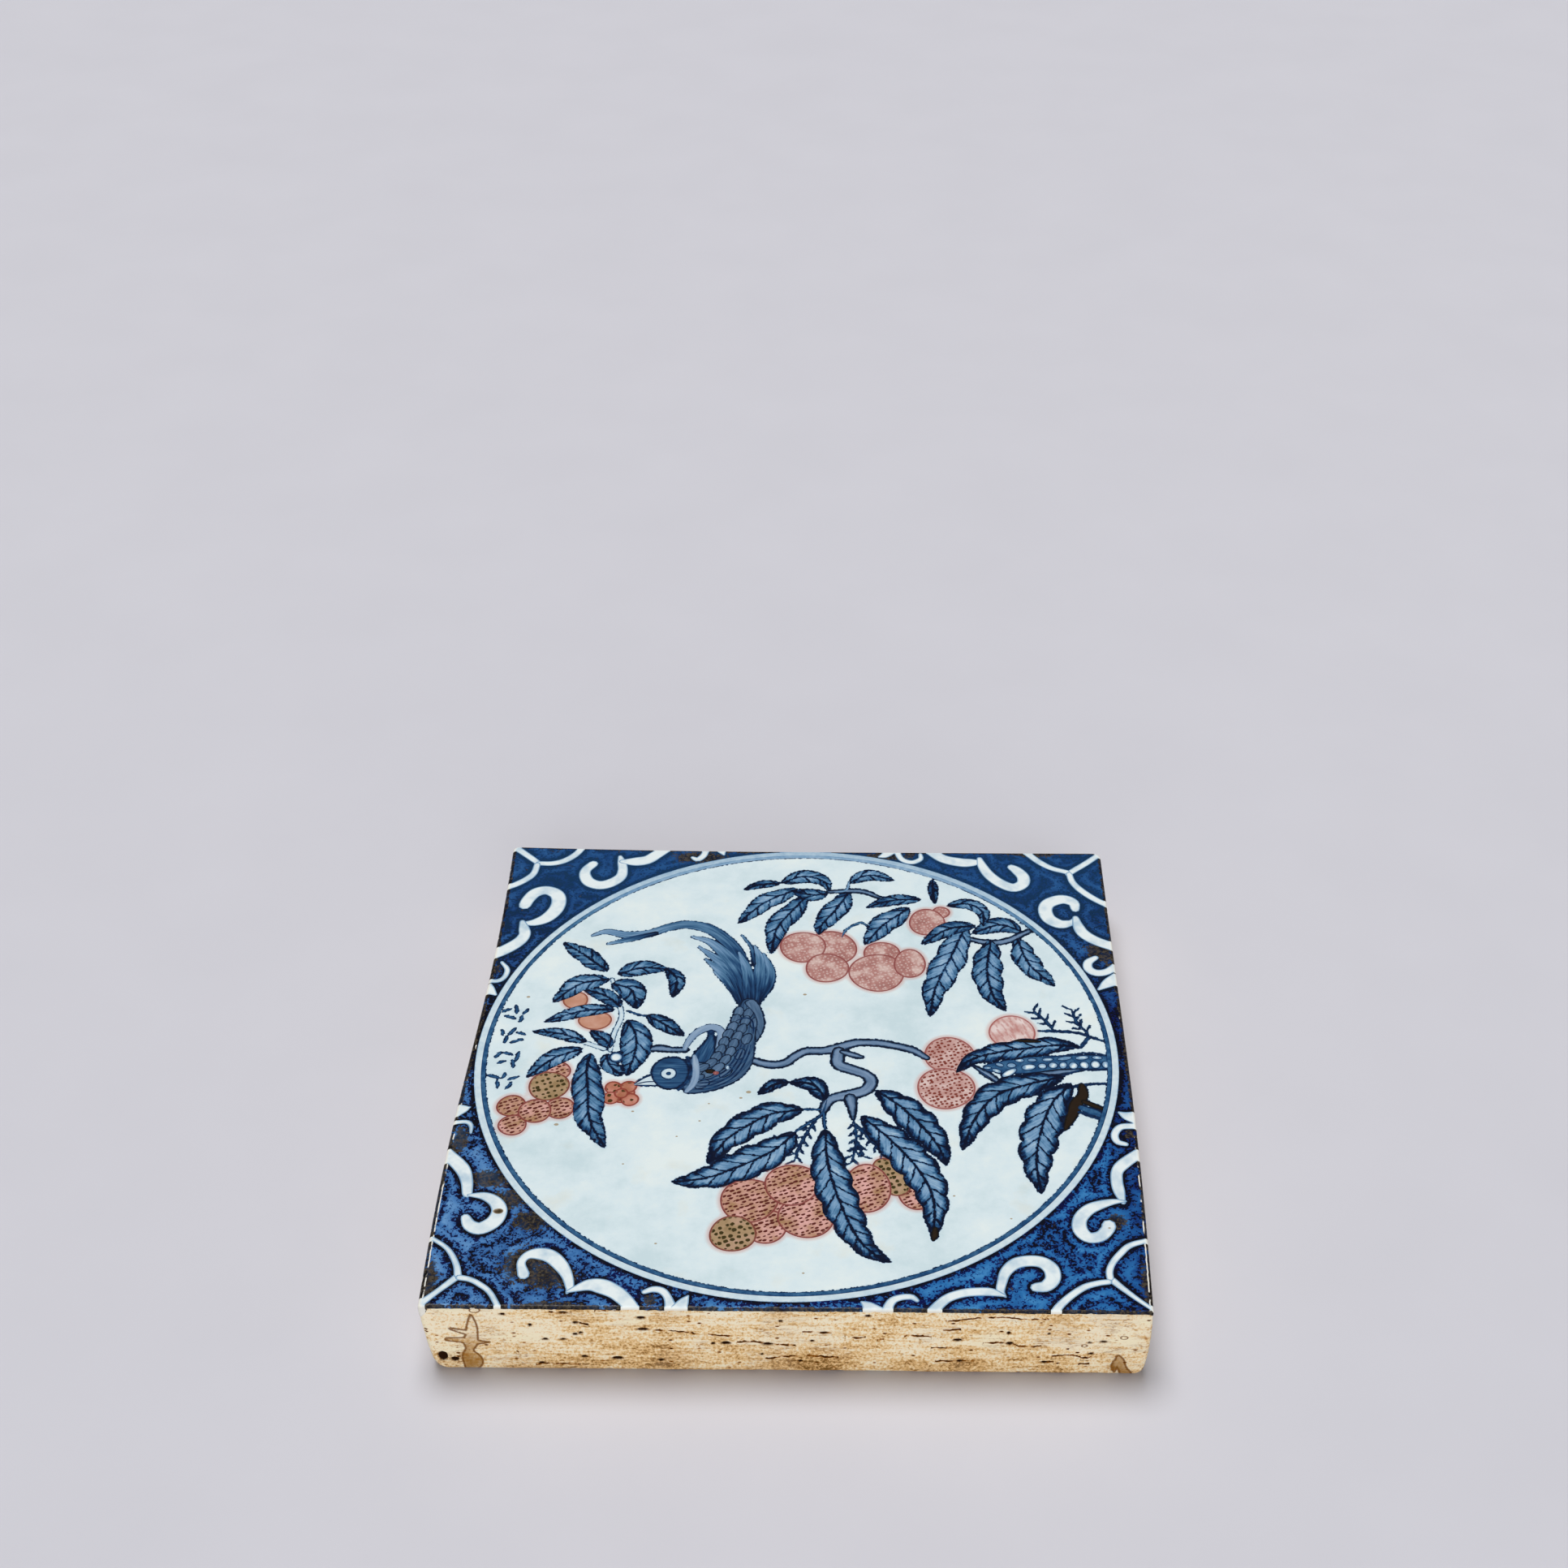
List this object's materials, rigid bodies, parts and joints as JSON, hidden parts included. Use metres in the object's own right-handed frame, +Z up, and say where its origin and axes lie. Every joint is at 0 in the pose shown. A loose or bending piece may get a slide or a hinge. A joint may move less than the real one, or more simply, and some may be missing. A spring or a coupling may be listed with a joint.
{
  "type": "painted porcelain tile",
  "caption": "Thick square porcelain tile, hand-painted with a bird and fruiting branches in a round panel, with bare clay sides and a flat underside that beds on mortar.",
  "frame": {"origin": "centre of the flat underside, below the middle of the tile's outline", "axes": "+Z up out of the painted face, -Y out of the front side, +X to the right as the picture is read"},
  "size_m": [0.2026, 0.2, 0.026],
  "materials": {
    "painted_porcelain": "glossy clear glaze over cobalt blue and copper red painting, on a bare buff clay body"
  },
  "bodies": {
    "root": {"tile": "painted_porcelain"}
  },
  "joints": []
}
